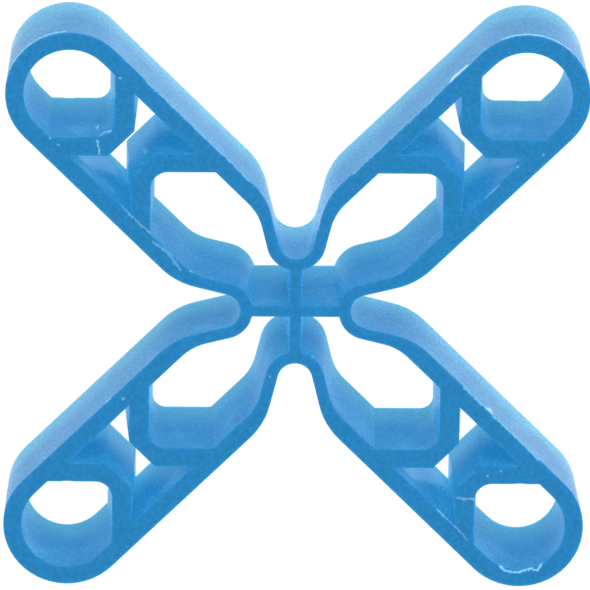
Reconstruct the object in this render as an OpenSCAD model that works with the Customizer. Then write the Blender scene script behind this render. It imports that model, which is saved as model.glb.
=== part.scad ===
// Tile spacer: a cross of four hollow legs, moulded in one piece.
// It lies flat, with the legs along x and y, as it does between four tiles.
// The draft of the mould makes every wall lean, so the sizes across are those at the top face.

/* [Spacer] */
// Width of a leg, which is the joint it sets between two tiles
joint_w = 9.5; // [9:0.1:11]
// Overall length across two opposite legs
span = 57.2; // [54:0.1:70]
// Thickness
thick = 8.4; // [5:0.1:10]
// Draft of the walls, in degrees
draft = 2.25; // [0.5:0.25:2.5]

/* [Walls] */
// Wall round each leg
leg_wall = 1.35; // [1.2:0.05:1.6]
// Wall round each valley and neck
neck_wall = 0.9; // [0.7:0.05:1.1]
// Webs that cross at the centre
hub_web = 0.85; // [0.7:0.05:1.4]
// Bars that brace each leg across
brace = 1.45; // [1:0.05:1.6]

/* [Valleys and necks] */
// Distance from the centre to the bottom of a valley
valley_at = 4.1; // [3.8:0.05:4.4]
// Radius at the bottom of a valley
valley_r = 1.3; // [1.2:0.05:1.5]
// Angle between the side of a valley and its middle line
valley_lean = 14; // [13:0.5:16]
// Radius of the outer bend from neck to leg
bend_out = 5.5; // [5:0.1:6.5]
// Radius of the inner bend from neck to leg
bend_in = 3.95; // [3.6:0.05:4.6]

/* [Openings] */
// Distance from the middle of the round end back to the waisted opening
waist_back = 6.65; // [6.6:0.05:8]
// Length of its waist, along the leg
waist_l = 2.4; // [1.6:0.05:2.6]
// Width of its waist, across the leg
waist_w = 2.7; // [2:0.1:3.2]
// Radius of the round corner that the two large openings turn to the braces
corner_r = 1.3; // [0.8:0.1:1.6]

/* [Hidden] */
$fn = 96;
half_w = joint_w / 2;
room = half_w - leg_wall;
tip_at = span / 2 - half_w;
side_dir = 45 - valley_lean;
valley = (valley_at + valley_r) * unit(45);
waist_at = tip_at - waist_back;
waist_hub = waist_at - waist_l / 2;
waist_end = waist_at + waist_l / 2;
hub_brace_at = waist_hub + waist_w / 2;
end_brace_at = waist_end - waist_w / 2;
hub_opening_end = hub_brace_at - brace * sqrt(2);
end_opening_start = end_brace_at + brace * sqrt(2);
slope = tan(draft);
// Walls are drawn this far past both faces, and then cut flush
over = 1;
tall = thick + 2 * over;
// How far one body reaches into the next
tuck = 0.8;
// Posts are this much fuller than the walls that run smoothly into them, so that the two cross
lap = 0.003;
reach = span;

function unit(angle) = [cos(angle), sin(angle)];
function flip(p) = [p[0], -p[1]];

// Size of a leaning wall at the lower and the upper end as drawn, from its size at the top face
function lower(size, lean) = size - lean * (thick + over);
function upper(size, lean) = size + lean * over;

// Distance from the centre to the straight side of a valley that has radius r
function side_off(r) = valley * unit(side_dir + 90) - r;
// Centre of the bend between that side and a flank half_y from the leg's middle
function bend_centre(r, bend, half_y) =
    let (y = half_y - bend)
    [(y * cos(side_dir) + bend - side_off(r)) / sin(side_dir), y];

module around() {
    for (i = [0:3])
        rotate(i * 90)
            children();
}

module sides() {
    children();
    mirror([0, 1, 0])
        children();
}

// Upright block on an outline
module block(points) {
    translate([0, 0, -over])
        linear_extrude(tall)
            polygon(points);
}

// Round post
module post(centre, r, lean = slope) {
    translate([centre[0], centre[1], -over])
        cylinder(h = tall, r1 = lower(r, lean), r2 = upper(r, lean));
}

// Everything up to a wall that faces the given direction, off from the centre
module up_to(angle, off, lean = slope) {
    rotate(angle)
        translate([0, 0, -over])
            rotate([90, 0, 0])
                linear_extrude(2 * reach, center = true)
                    polygon([[-reach, 0], [lower(off, lean), 0], [upper(off, lean), tall], [-reach, tall]]);
}

// Everything between two such walls, the same angle to both sides of the leg's middle line
module between(angle, off, lean = slope) {
    intersection() {
        up_to(angle, off, lean);
        up_to(-angle, off, lean);
    }
}

// Straight stretch of a leg, half_y wide to each side
module bar(from, to, half_y) {
    low = lower(half_y, slope);
    high = upper(half_y, slope);
    translate([from, 0, -over])
        rotate([90, 0, 90])
            linear_extrude(to - from)
                polygon([[-low, 0], [low, 0], [high, tall], [-high, tall]]);
}

// Leg from the centre to x = to. Its neck runs along valleys of radius r and bends out to the flanks.
module leg(to, half_y, r, bend) {
    root = valley + (r + tuck) * unit(side_dir - 90);
    centre = bend_centre(r, bend, half_y);
    block([[-tuck, 0], flip(valley), flip(root), root, valley]);
    intersection() {
        between(side_dir + 90, side_off(r));
        between(side_dir, centre * unit(side_dir), 0);
    }
    intersection() {
        post(centre, bend + lap);
        post(flip(centre), bend + lap);
    }
    bar(centre[0], to, half_y);
}

// Quarter of the plane round a corner's centre, which its arc takes the place of
module quarter(centre_x, turn) {
    translate([centre_x, 0, -over])
        rotate(turn - 45)
            cube([reach, reach, tall]);
}

// Opening beside the hub, from the corner of two webs to the first brace
module hub_opening() {
    outer_r = valley_r + neck_wall;
    corner_at = hub_opening_end - corner_r * sqrt(2);
    difference() {
        intersection() {
            leg(hub_opening_end, room, outer_r, bend_in);
            between(45, hub_opening_end / sqrt(2));
            between(135, -hub_web / 2);
        }
        quarter(corner_at, 0);
        sides()
            post(valley, outer_r + lap, -slope);
    }
    post([corner_at, 0], corner_r + lap);
}

// Opening between the two braces
module waisted_opening() {
    difference() {
        bar(waist_hub - room, waist_end + room, room);
        intersection() {
            up_to(0, waist_hub, -slope);
            between(45, hub_brace_at / sqrt(2), -slope);
        }
        intersection() {
            up_to(180, -waist_end, -slope);
            between(135, -end_brace_at / sqrt(2), -slope);
        }
    }
}

// Opening in the round end of a leg
module end_opening() {
    corner_at = end_opening_start + corner_r * sqrt(2);
    difference() {
        intersection() {
            bar(end_opening_start, tip_at, room);
            between(135, -end_opening_start / sqrt(2));
        }
        quarter(corner_at, 180);
    }
    post([corner_at, 0], corner_r + lap);
    post([tip_at, 0], room);
}

module outline() {
    difference() {
        around() {
            leg(tip_at, half_w, valley_r, bend_out);
            post([tip_at, 0], half_w);
        }
        around()
            post(valley, valley_r + lap, -slope);
    }
}

module spacer() {
    color([0.16, 0.55, 0.78])
        intersection() {
            translate([-span, -span, 0])
                cube([2 * span, 2 * span, thick]);
            difference() {
                outline();
                around() {
                    hub_opening();
                    waisted_opening();
                    end_opening();
                }
            }
        }
}

spacer();
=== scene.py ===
import math
import random

import bmesh
import bpy
from mathutils import Matrix, Vector


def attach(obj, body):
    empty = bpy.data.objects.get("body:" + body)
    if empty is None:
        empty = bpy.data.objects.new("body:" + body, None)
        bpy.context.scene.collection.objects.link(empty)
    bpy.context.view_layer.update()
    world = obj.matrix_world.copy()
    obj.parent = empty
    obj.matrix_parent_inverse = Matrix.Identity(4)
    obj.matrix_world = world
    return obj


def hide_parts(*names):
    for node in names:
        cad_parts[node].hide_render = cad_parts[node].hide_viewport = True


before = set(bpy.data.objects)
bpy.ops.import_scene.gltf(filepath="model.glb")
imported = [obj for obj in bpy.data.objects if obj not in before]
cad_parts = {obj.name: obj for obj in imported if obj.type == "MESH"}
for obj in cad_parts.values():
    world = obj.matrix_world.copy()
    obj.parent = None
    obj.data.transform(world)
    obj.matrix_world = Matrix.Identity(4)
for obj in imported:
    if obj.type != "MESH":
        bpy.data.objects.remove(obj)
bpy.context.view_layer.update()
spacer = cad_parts["spacer"]

# The photo's right and up, in the spacer's plane: the legs run along its diagonals
RIGHT = Vector((1, -1, 0)).normalized()
UP = Vector((1, 1, 0)).normalized()
Z = Vector((0, 0, 1))

# Sizes of the spacer, in millimetres, as in the part's source
MM = 0.001
TOP = 8.4
HALF_W = 4.75
TIP_AT = 23.85

# Colours: of the plastic's body, of its painted glow, of painted pale light and painted sheen, of rubbed
# places with painted reflections and highlights, and of dull places
BODY = (0.018, 0.10, 0.22, 1)
PAINTED_GLOW = (0.021, 0.29, 0.64, 1)
# Pale: painted light along the lower edges and painted sheen on the walls
PALE_LIGHT_AND_SHEEN = (0.14, 0.52, 0.66, 1)
# Pale: rubbed places, and also painted reflections and painted highlights
RUBBED_AND_LIT = (0.22, 0.48, 0.68, 1)
DULL = (0.02, 0.12, 0.30, 1)
# Strength of the painted glow: how much of its colour the plastic gives as its own light
PAINTED_GLOW_STRENGTH = 0.6
ROUGHNESS = 0.26
IOR = 1.17
# Painted pale light from below: the lower edges are paler by this share, up to this height in millimetres
PALE_SHARE = 0.42
PALE_HEIGHT = 5.0
# Variation of the colour by the grain, and share of the painted sheen that lies in pale clouds on the walls
GRAIN = 0.09
SHEEN_CLOUDS = 0.14

# Light of the studio: brightness of the floor for soft, glossy and camera rays, and of the room
FLOOR_COLOUR = (0.9, 0.9, 0.9, 1)
FLOOR_SOFT = 0.5
FLOOR_GLOSS = 0.40
FLOOR_SEEN = 1.05
ROOM = 0.25
ROOM_ABOVE = (0.5, 0.5, 0.5, 1)
ROOM_LOW = (1, 1, 1, 1)
# Lamps: direction, elevation in degrees, size in metres and power in watts
LAMPS = {
    "upper_lamp": (UP, 35, 0.30, 1.6),
    "right_lamp": (RIGHT + UP * 0.3, 40, 0.25, 1.35),
    "left_lamp": (-RIGHT + UP * 0.3, 40, 0.25, 0.35),
}
LAMP_DISTANCE = 0.6

# Rounding of the moulded edges in millimetres, and the angles in degrees that make an edge or a crease
EDGE = 0.04
EDGE_ANGLE = 25
CREASE_ANGLE = 18

# Scratches, pale places and painted reflections: width in millimetres, strength and points in millimetres
SCRATCHES_AND_REFLECTIONS = {
    "brace of the upper left end": (0.24, 0.8, [(-0.8, 20.1, 6.0), (-1.1, 19.8, 8.4), (-1.7, 19.0, 8.4)]),
    # A mould mark on this brace; its pale crescent is a painted glint
    "mould mark on the same brace, with a painted glint": (0.30, 1.0, [(-0.8, 19.85, 8.0), (-0.4, 19.7, 7.6), (0.1, 19.6, 8.3)]),
    "wall of the upper left waist": (0.5, 0.35, [(0.1, 16.1, 5.0), (0.3, 16.1, 6.2)]),
    "inner edge of the upper left leg": (
        0.22, 0.55, [(-3.4, 14.9, 8.3), (-3.4, 13.4, 8.4), (-3.4, 11.9, 8.4)]),
    "flank of the upper left leg": (0.30, 0.45, [(-3.7, 11.3, 8.4), (-3.5, 9.9, 8.4), (-3.8, 8.3, 8.4)]),
    "neck of the upper left leg": (0.26, 0.6, [(-3.3, 7.8, 8.3), (-3.1, 7.2, 8.4)]),
    "flash in the lower right end": (
        0.28, 1.0, [(-3.2, -25.1, 8.4), (-3.2, -25.6, 8.4), (-2.6, -26.4, 8.4), (-1.7, -26.8, 8.4),
                    (-1.5, -27.3, 8.4), (-1.1, -27.2, 8.4), (-0.7, -27.0, 8.4), (0.0, -27.1, 8.4)]),
    "inner edge of the lower right leg": (
        0.20, 0.55, [(-3.4, -18.6, 8.3), (-3.4, -19.4, 8.4), (-3.4, -20.6, 8.4), (-3.5, -21.9, 8.4)]),
    "brace of the lower right end": (0.26, 0.5, [(-1.7, -19.0, 8.4), (-0.9, -19.9, 8.4)]),
    "edge of the upper right leg": (0.24, 0.8, [(18.6, 4.75, 8.3), (20.0, 4.8, 8.3)]),
    "flank of the upper right leg": (0.22, 0.45, [(16.2, -3.5, 8.4), (17.6, -3.5, 8.4)]),
    "ragged edge of the upper right leg": (0.22, 0.5, [(10.5, 4.72, 8.38), (18.6, 4.72, 8.38)]),
    "ragged edge of the lower right leg": (0.24, 0.55, [(4.72, -21.0, 8.38), (4.72, -13.0, 8.38)]),
    "ragged edge of the upper left leg": (0.22, 0.5, [(4.72, 9.5, 8.38), (4.72, 20.5, 8.38)]),
    # Painted reflections of the bright floor on the inner walls of the waists
    "painted reflection in the upper left waist": (2.6, 0.45, [(-3.3, 19.1, 6.0), (-3.1, 16.5, 2.8)]),
    "painted reflection in the lower right waist": (2.6, 0.45, [(-3.3, -15.5, 6.1), (-3.1, -18.5, 1.9)]),
    "painted reflection in the upper right waist": (2.2, 0.4, [(16.3, 0.0, 1.5), (16.2, -0.8, 4.1)]),
    "painted reflection beside the upper right waist": (2.4, 0.4, [(18.0, -3.3, 3.5), (19.6, -3.4, 6.5)]),
}
# Painted highlights along the rims of round ends: width, strength, the leg's direction, and first and last
# angle from it in degrees
RIM_HIGHLIGHTS = {
    "upper left end": (0.44, 0.9, 90, -40, 16),
    "upper right end": (0.50, 1.0, 0, 2, 68),
}
RIM_DEPTH = 0.35
RIM_STEPS = 4
# Pale specks, in millimetres
SPECKS = [
    (-3.4, 22.4, 8.4), (-3.4, 21.6, 8.4), (-0.1, 16.0, 7.6), (3.5, 22.1, 8.4), (-1.6, 4.2, 8.0),
    (2.1, -19.7, 8.4), (1.1, -19.3, 8.4), (0.5, -18.4, 8.2), (19.8, -0.5, 7.3), (21.6, -4.1, 8.4),
    (19.6, -3.4, 8.4), (-13.9, 4.1, 8.4), (-5.0, -2.3, 8.4), (-1.6, -3.5, 8.2),
]
SPECK_W = 0.3
SPECK_STRENGTH = 0.7
# Dull darker places as centre, width and strength: a grain of dirt in the hub, and patches on the flanks
STAINS = [
    ((2.6, -1.8, 4.1), 0.6, 1.0),
    ((4.6, 20.5, 4.2), 2.4, 0.3),
    ((4.5, 12.8, 3.0), 2.4, 0.3),
    ((-14.6, 4.5, 2.6), 2.8, 0.3),
    ((4.5, -14.4, 3.2), 2.4, 0.3),
    ((4.5, -21.7, 3.0), 2.8, 0.35),
]
# How far the grain pushes the edges of the marks about, in millimetres
WANDER = 0.35

# Burrs: start and end along the leg, how far they stand out, direction of the leg in degrees, and its side
BURRS = {
    "burr_upper_right": (20.5, 22.5, 0.34, 0, 1),
    "burr_lower_right": (15.3, 16.1, 0.30, -90, 1),
    "burr_lower_left": (14.5, 15.2, 0.16, 180, -1),
    "burr_right_flank": (13.6, 14.2, 0.18, 0, -1),
}
BURR_STEPS = 9
BURR_ROOT = 0.15


def node(tree, kind, **settings):
    item = tree.nodes.new(kind)
    for name, value in settings.items():
        setattr(item, name, value)
    return item


def shader(material):
    material.use_nodes = True
    return material.node_tree.nodes["Principled BSDF"]


def maths(tree, operation, a, b=None, clamp=False):
    item = node(tree, "ShaderNodeMath", operation=operation, use_clamp=clamp)
    for socket, value in zip(item.inputs, (a, b)):
        if value is None:
            continue
        if isinstance(value, (int, float)):
            socket.default_value = value
        else:
            tree.links.new(value, socket)
    return item.outputs[0]


def vectors(tree, operation, a, b):
    item = node(tree, "ShaderNodeVectorMath", operation=operation)
    for socket, value in zip(item.inputs, (a, b)):
        if isinstance(value, (tuple, Vector)):
            socket.default_value = value
        else:
            tree.links.new(value, socket)
    return item


def spread(tree, value, low, high, to_low, to_high):
    item = node(tree, "ShaderNodeMapRange", interpolation_type="SMOOTHSTEP")
    for name, number in (("From Min", low), ("From Max", high), ("To Min", to_low), ("To Max", to_high)):
        item.inputs[name].default_value = number
    tree.links.new(value, item.inputs["Value"])
    return item.outputs["Result"]


def blend(tree, share, a, b):
    item = node(tree, "ShaderNodeMix", data_type="RGBA")
    tree.links.new(share, item.inputs["Factor"])
    for socket, value in ((item.inputs[6], a), (item.inputs[7], b)):
        if isinstance(value, tuple):
            socket.default_value = value
        else:
            tree.links.new(value, socket)
    return item.outputs[2]


def noise(tree, place, scale, detail=2.0):
    item = node(tree, "ShaderNodeTexNoise")
    item.inputs["Scale"].default_value = scale
    item.inputs["Detail"].default_value = detail
    tree.links.new(place, item.inputs["Vector"])
    return item.outputs["Fac"], item.outputs["Color"]


def line_share(tree, place, a, b, width, strength):
    """How near a place is to the line from a to b, in millimetres."""
    a, b = Vector(a), Vector(b)
    run = b - a
    off = vectors(tree, "SUBTRACT", place, a).outputs["Vector"]
    if run.length:
        part = vectors(tree, "DOT_PRODUCT", off, run / run.length_squared).outputs["Value"]
        part = maths(tree, "ADD", part, 0.0, clamp=True)
        along = node(tree, "ShaderNodeVectorMath", operation="SCALE")
        along.inputs[0].default_value = run
        tree.links.new(part, along.inputs["Scale"])
        far = vectors(tree, "DISTANCE", off, along.outputs["Vector"]).outputs["Value"]
    else:
        far = vectors(tree, "LENGTH", off, (0.0, 0.0, 0.0)).outputs["Value"]
    return spread(tree, far, 0.15 * width, 0.5 * width, strength, 0.0)


def rim(leg, first, last):
    """Points just under the upper edge of a leg's round end."""
    middle = Matrix.Rotation(math.radians(leg), 3, "Z") @ Vector((TIP_AT, 0, TOP - RIM_DEPTH))
    points = []
    for i in range(RIM_STEPS + 1):
        angle = math.radians(leg + first + (last - first) * i / RIM_STEPS)
        points.append(middle + HALF_W * Vector((math.cos(angle), math.sin(angle), 0)))
    return points


def pale_lines():
    """Every pale line as its two ends, width and strength: rubbed places, specks, painted reflections and
    painted highlights.
    """
    paths = list(SCRATCHES_AND_REFLECTIONS.values())
    # The rims carry painted highlights along the upper edges of the round ends
    paths += [(width, strength, rim(*arc)) for width, strength, *arc in RIM_HIGHLIGHTS.values()]
    lines = []
    for width, strength, points in paths:
        lines += [(a, b, width, strength) for a, b in zip(points, points[1:])]
    return lines + [(p, p, SPECK_W, SPECK_STRENGTH) for p in SPECKS]


def marks(tree, place, lines):
    """Share of a mark at a place: the strongest of all its lines."""
    total = None
    for line in lines:
        share = line_share(tree, place, *line)
        total = share if total is None else maths(tree, "MAXIMUM", total, share)
    return total


def polythene():
    """Blue translucent polythene with a painted glow: fine-grained, with painted pale light along its lower
    edges, painted sheen in clouds on its walls, pale rubbed places, and painted reflections and highlights.
    """
    material = bpy.data.materials.new("blue_polythene")
    bsdf = shader(material)
    tree = material.node_tree
    coords = node(tree, "ShaderNodeTexCoord")
    place = vectors(tree, "MULTIPLY", coords.outputs["Object"], (1 / MM, 1 / MM, 1 / MM)).outputs["Vector"]
    fine, fine_colour = noise(tree, place, 4.0)
    wander = vectors(tree, "MULTIPLY_ADD", fine_colour, (WANDER, WANDER, WANDER))
    wander.inputs[2].default_value = (-WANDER / 2, -WANDER / 2, -WANDER / 2)
    moved = vectors(tree, "ADD", place, wander.outputs["Vector"]).outputs["Vector"]
    # Pale marks: rubbed places and specks, with painted reflections and painted highlights
    rubbed_and_lit = marks(tree, moved, pale_lines())
    dull = marks(tree, moved, [(p, p, width, strength) for p, width, strength in STAINS])
    underlight, sheen_veil = pale_shares(tree, coords, place)
    grain = spread(tree, fine, 0.3, 0.7, 1.0 - GRAIN, 1.0 + GRAIN)
    # Base colour and painted glow alike take the painted pale light, painted sheen, dull places, and the
    # rubbed places with painted reflections and highlights
    for name, plain in (("Base Color", BODY), ("Emission Color", PAINTED_GLOW)):
        colour = vectors(tree, "MULTIPLY", plain[:3], grain).outputs["Vector"]
        for share, other in ((underlight, PALE_LIGHT_AND_SHEEN), (sheen_veil, PALE_LIGHT_AND_SHEEN), (dull, DULL), (rubbed_and_lit, RUBBED_AND_LIT)):
            colour = blend(tree, share, colour, other)
        tree.links.new(colour, bsdf.inputs[name])
    # The plastic glows with painted light of its own, as no lamp does
    bsdf.inputs["Emission Strength"].default_value = PAINTED_GLOW_STRENGTH
    bsdf.inputs["IOR"].default_value = IOR
    bsdf.inputs["Subsurface Weight"].default_value = 1.0
    bsdf.inputs["Subsurface Radius"].default_value = (0.3, 0.8, 1.0)
    bsdf.inputs["Subsurface Scale"].default_value = 2 * MM
    rough = spread(tree, fine, 0.3, 0.7, ROUGHNESS - 0.08, ROUGHNESS + 0.08)
    worn = maths(tree, "MULTIPLY", rubbed_and_lit, 0.25)
    tree.links.new(maths(tree, "ADD", rough, worn), bsdf.inputs["Roughness"])
    bump = node(tree, "ShaderNodeBump")
    bump.inputs["Strength"].default_value = 0.12
    bump.inputs["Distance"].default_value = 0.05 * MM
    tree.links.new(fine, bump.inputs["Height"])
    tree.links.new(bump.outputs["Normal"], bsdf.inputs["Normal"])
    return material


def pale_shares(tree, coords, place):
    """Shares of painted light: pale light along the lower edges, and painted sheen in clouds on the walls."""
    height = node(tree, "ShaderNodeSeparateXYZ")
    tree.links.new(place, height.inputs["Vector"])
    # Painted pale light from below, strongest at the lower edges
    underlight = spread(tree, height.outputs["Z"], 0.0, PALE_HEIGHT, PALE_SHARE, 0.0)
    # Painted sheen: pale clouds on the walls only, not on the flat faces
    facing = node(tree, "ShaderNodeSeparateXYZ")
    tree.links.new(coords.outputs["Normal"], facing.inputs["Vector"])
    wall = maths(tree, "SUBTRACT", 1.0, maths(tree, "ABSOLUTE", facing.outputs["Z"]))
    cloud, _ = noise(tree, place, 0.45, 3.0)
    sheen_veil = maths(tree, "MULTIPLY", wall, spread(tree, cloud, 0.45, 0.75, 0.0, SHEEN_CLOUDS))
    return underlight, sheen_veil


def flash():
    """Thin torn polythene, almost white, with a painted glow."""
    material = bpy.data.materials.new("pale_flash")
    bsdf = shader(material)
    tree = material.node_tree
    coords = node(tree, "ShaderNodeTexCoord")
    fine, _ = noise(tree, coords.outputs["Object"], 4 / MM)
    pale = blend(tree, fine, (0.45, 0.72, 0.90, 1), (0.75, 0.88, 0.96, 1))
    tree.links.new(pale, bsdf.inputs["Base Color"])
    tree.links.new(spread(tree, fine, 0.3, 0.7, 0.35, 0.55), bsdf.inputs["Roughness"])
    # Painted glow: the flash gives off pale light of its own
    bsdf.inputs["Emission Color"].default_value = (0.4, 0.6, 0.75, 1)
    bsdf.inputs["Emission Strength"].default_value = 0.4
    return material


def piece(name, bm, material):
    mesh = bpy.data.meshes.new(name)
    bm.to_mesh(mesh)
    bm.free()
    mesh.materials.append(material)
    item = bpy.data.objects.new(name, mesh)
    bpy.context.scene.collection.objects.link(item)
    return item


def softened(material):
    """The spacer with its moulded edges slightly rounded."""
    bm = bmesh.new()
    bm.from_mesh(spacer.data)
    bmesh.ops.remove_doubles(bm, verts=bm.verts, dist=1e-7)
    bmesh.ops.dissolve_limit(bm, angle_limit=math.radians(0.5), verts=bm.verts, edges=bm.edges)
    sharp = math.radians(EDGE_ANGLE)
    edges = [edge for edge in bm.edges if edge.is_manifold and edge.calc_face_angle() > sharp]
    bmesh.ops.bevel(
        bm, geom=edges, offset=EDGE * MM, segments=2, profile=0.5, affect="EDGES", clamp_overlap=True)
    bmesh.ops.triangulate(bm, faces=bm.faces)
    for face in bm.faces:
        face.smooth = True
    for edge in bm.edges:
        edge.smooth = edge.calc_face_angle(0.0) < math.radians(CREASE_ANGLE)
    item = piece("moulding", bm, material)
    item.matrix_world = spacer.matrix_world.copy()
    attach(item, "root")
    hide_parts("spacer")


def burr(name, start, end, stand, leg, side, material):
    """A ragged shred of flash along the upper edge of a leg's flank."""
    rng = random.Random(name)
    bm = bmesh.new()
    rings = []
    for i in range(BURR_STEPS + 1):
        part = i / BURR_STEPS
        out = stand * math.sin(math.pi * (0.12 + 0.76 * part)) ** 0.7 * rng.uniform(0.6, 1.0)
        top = TOP - 0.07 - rng.uniform(0.0, 0.04)
        root = HALF_W - BURR_ROOT
        section = ((root, top), (HALF_W - 0.07 + out, top + 0.02), (root, top - 0.22 - out * 0.5))
        x = start + (end - start) * part
        rings.append([bm.verts.new((MM * x, MM * side * y, MM * z)) for y, z in section])
    for a, b in zip(rings, rings[1:]):
        for i in range(3):
            j = (i + 1) % 3
            bm.faces.new((a[i], a[j], b[j], b[i]))
    bm.faces.new(rings[0])
    bm.faces.new(rings[-1][::-1])
    bmesh.ops.triangulate(bm, faces=bm.faces)
    bmesh.ops.recalc_face_normals(bm, faces=bm.faces)
    item = piece(name, bm, material)
    item.matrix_world = Matrix.Rotation(math.radians(leg), 4, "Z")
    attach(item, "root")


def white_floor():
    """White, with its own light: some for gloss, more for soft light, and plain white for the camera."""
    white = bpy.data.materials.new("white_floor")
    bsdf = shader(white)
    bsdf.inputs["Base Color"].default_value = FLOOR_COLOUR
    bsdf.inputs["Emission Color"].default_value = (1, 1, 1, 1)
    bsdf.inputs["Emission Strength"].default_value = FLOOR_GLOSS
    bsdf.inputs["Roughness"].default_value = 1.0
    bsdf.inputs["Specular IOR Level"].default_value = 0.0
    tree = white.node_tree
    path = node(tree, "ShaderNodeLightPath")
    last = bsdf.outputs["BSDF"]
    for ray, strength in (("Is Diffuse Ray", FLOOR_SOFT), ("Is Camera Ray", FLOOR_SEEN)):
        light = node(tree, "ShaderNodeEmission")
        light.inputs["Strength"].default_value = strength
        mix = node(tree, "ShaderNodeMixShader")
        tree.links.new(path.outputs[ray], mix.inputs["Fac"])
        tree.links.new(last, mix.inputs[1])
        tree.links.new(light.outputs["Emission"], mix.inputs[2])
        last = mix.outputs["Shader"]
    tree.links.new(last, tree.nodes["Material Output"].inputs["Surface"])
    return white


def room():
    """Even light from all round, dimmer overhead."""
    world = bpy.data.worlds.new("room")
    bpy.context.scene.world = world
    world.use_nodes = True
    tree = world.node_tree
    coords = node(tree, "ShaderNodeTexCoord")
    height = vectors(tree, "DOT_PRODUCT", coords.outputs["Generated"], Z).outputs["Value"]
    ramp = node(tree, "ShaderNodeValToRGB")
    ramp.color_ramp.elements[0].color = ROOM_LOW
    ramp.color_ramp.elements[1].color = ROOM_ABOVE
    tree.links.new(height, ramp.inputs["Fac"])
    tree.links.new(ramp.outputs["Color"], tree.nodes["Background"].inputs["Color"])
    tree.nodes["Background"].inputs["Strength"].default_value = ROOM


def studio():
    size = 2.0
    corners = [(-size, -size, 0), (size, -size, 0), (size, size, 0), (-size, size, 0)]
    mesh = bpy.data.meshes.new("floor")
    mesh.from_pydata(corners, [], [(0, 1, 2, 3)])
    mesh.materials.append(white_floor())
    floor = bpy.data.objects.new("floor", mesh)
    bpy.context.scene.collection.objects.link(floor)
    room()
    for name, given in LAMPS.items():
        lamp(name, *given)


def lamp(name, towards, elevation, size, power):
    data = bpy.data.lights.new(name, "AREA")
    data.shape = "DISK"
    data.size = size
    data.energy = power
    light = bpy.data.objects.new(name, data)
    a = math.radians(elevation)
    place = (towards.normalized() * math.cos(a) + Z * math.sin(a)) * LAMP_DISTANCE
    light.location = place
    light.rotation_mode = "QUATERNION"
    light.rotation_quaternion = (-place).to_track_quat("-Z", "Y")
    bpy.context.scene.collection.objects.link(light)


def camera():
    """Looks at the hub from above, tipped towards the photo's upper side."""
    tilt, turn, roll = 0.33371, -0.01636, 0.01169
    distance = 1.006
    level = math.cos(tilt)
    normal = RIGHT * (math.sin(turn) * level) + UP * math.sin(tilt) + Z * (math.cos(turn) * level)
    side = RIGHT * math.cos(turn) - Z * math.sin(turn)
    over = normal.cross(side)
    right = side * math.cos(roll) + over * math.sin(roll)
    up = over * math.cos(roll) - side * math.sin(roll)
    data = bpy.data.cameras.new("camera")
    data.lens = 828.1
    data.sensor_width = 36
    data.shift_x = -0.00113
    data.shift_y = 0.02802
    data.clip_start = 0.01
    data.clip_end = 20
    item = bpy.data.objects.new("camera", data)
    place = Z * TOP * MM + normal * distance
    turned = Matrix((right, up, normal)).transposed().to_4x4()
    item.matrix_world = Matrix.Translation(place) @ turned
    bpy.context.scene.collection.objects.link(item)
    bpy.context.scene.camera = item


plastic = polythene()
spacer.data.materials.clear()
spacer.data.materials.append(plastic)
softened(plastic)
pale = flash()
for name, given in BURRS.items():
    burr(name, *given, pale)
studio()
camera()
bpy.context.scene.view_settings.view_transform = "Standard"
